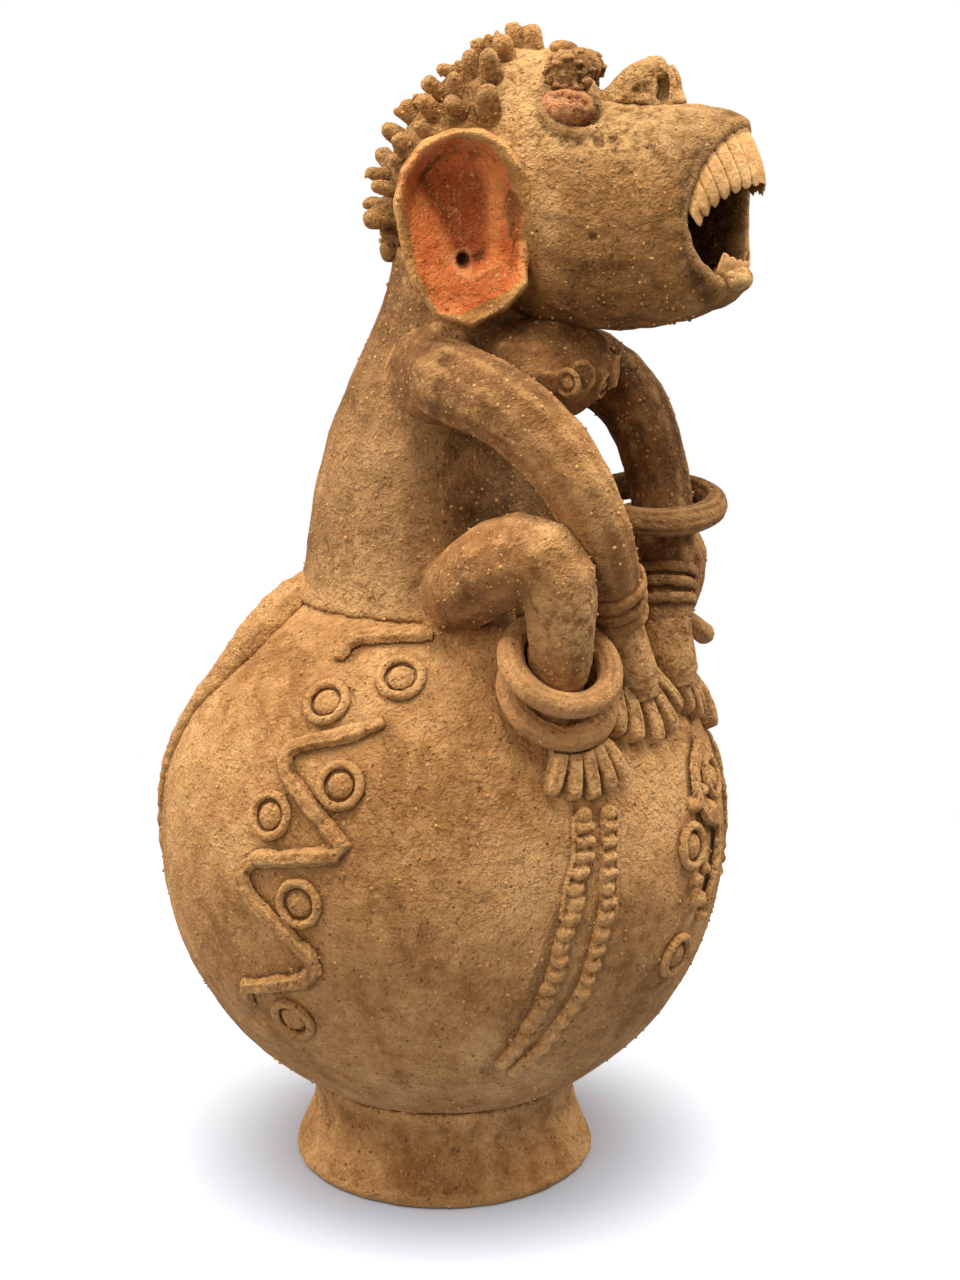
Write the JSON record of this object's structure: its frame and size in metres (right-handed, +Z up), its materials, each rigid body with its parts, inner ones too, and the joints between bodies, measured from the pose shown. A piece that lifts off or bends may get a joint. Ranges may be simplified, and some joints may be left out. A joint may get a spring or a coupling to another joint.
{
  "type": "monkey effigy vessel",
  "caption": "Hollow terracotta vessel shaped as an open-mouthed monkey seated on a footed globe, with loose clay rings on its limbs.",
  "frame": {"origin": "middle of the bounding box at the base of the foot ring, on the surface that the vessel stands on", "axes": "+Z up through the globe's axis, the monkey's body faces about -Y and its right side is -X"},
  "size_m": [0.2158, 0.2168, 0.4186],
  "materials": {
    "clay": "matt, coarse, unglazed",
    "dark_clay": "matt, coarse, smoke-darkened",
    "red_clay": "matt, rubbed with red earth",
    "teeth": "matt, pale slip"
  },
  "bodies": {
    "vessel": {"foot_ring": "clay", "globe": "clay", "torso": "clay", "head": "clay", "throat_pouch": "clay", "nose": "clay", "upper_teeth": "teeth", "lower_teeth": "teeth", "tongue": "dark_clay", "arm_right": "clay", "arm_left": "clay", "hand_right": "clay", "hand_left": "clay", "leg_right": "clay", "leg_left": "clay", "foot_right": "clay", "foot_left": "clay", "ear_right": "red_clay", "eye_right": "red_clay", "brow_right": "dark_clay", "bracelet_right_1": "clay", "bracelet_right_2": "clay", "bracelet_right_3": "clay", "scroll_right": "clay", "zigzag_right": "clay", "bead_row_right_1": "clay", "bead_row_right_2": "clay", "roundel_right_1": "clay", "roundel_right_2": "clay", "roundel_right_3": "clay", "roundel_right_4": "clay", "roundel_right_5": "clay", "roundel_right_6": "clay", "ear_left": "red_clay", "eye_left": "red_clay", "brow_left": "dark_clay", "bracelet_left_1": "clay", "bracelet_left_2": "clay", "bracelet_left_3": "clay", "scroll_left": "clay", "zigzag_left": "clay", "bead_row_left_1": "clay", "bead_row_left_2": "clay", "roundel_left_1": "clay", "roundel_left_2": "clay", "roundel_left_3": "clay", "roundel_left_4": "clay", "roundel_left_5": "clay", "roundel_left_6": "clay", "roundel_front_1": "clay", "roundel_front_2": "clay", "roundel_front_3": "clay", "scroll_front": "clay", "tail": "clay"},
    "ankle_ring_right_lower": {"ankle_ring_right_lower": "dark_clay"},
    "ankle_ring_right_upper": {"ankle_ring_right_upper": "dark_clay"},
    "ankle_ring_left_lower": {"ankle_ring_left_lower": "dark_clay"},
    "ankle_ring_left_upper": {"ankle_ring_left_upper": "dark_clay"},
    "arm_ring_left": {"arm_ring_left": "dark_clay"}
  },
  "joints": [
    {"name": "ankle_ring_right_lower_turn", "type": "hinge", "parent": "vessel", "child": "ankle_ring_right_lower", "pos_m": [-0.03856, -0.07065, 0.1974], "axis": [-0.3368, -0.6367, 0.6937], "continuous": true},
    {"name": "ankle_ring_right_upper_slide", "type": "slide", "parent": "vessel", "child": "ankle_ring_right_upper", "axis": [-0.5559, 0.027, 0.8308], "range_m": [0, 0.004]},
    {"name": "ankle_ring_left_lower_turn", "type": "hinge", "parent": "vessel", "child": "ankle_ring_left_lower", "pos_m": [0.05234, -0.05695, 0.1992], "axis": [0.4839, -0.5619, 0.6709], "continuous": true},
    {"name": "ankle_ring_left_upper_slide", "type": "slide", "parent": "vessel", "child": "ankle_ring_left_upper", "axis": [0.647, -0.082, 0.758], "range_m": [0, 0.002]},
    {"name": "arm_ring_left_slide", "type": "slide", "parent": "vessel", "child": "arm_ring_left", "axis": [0.191, 0.38, 0.905], "range_m": [0, 0.02]}
  ]
}
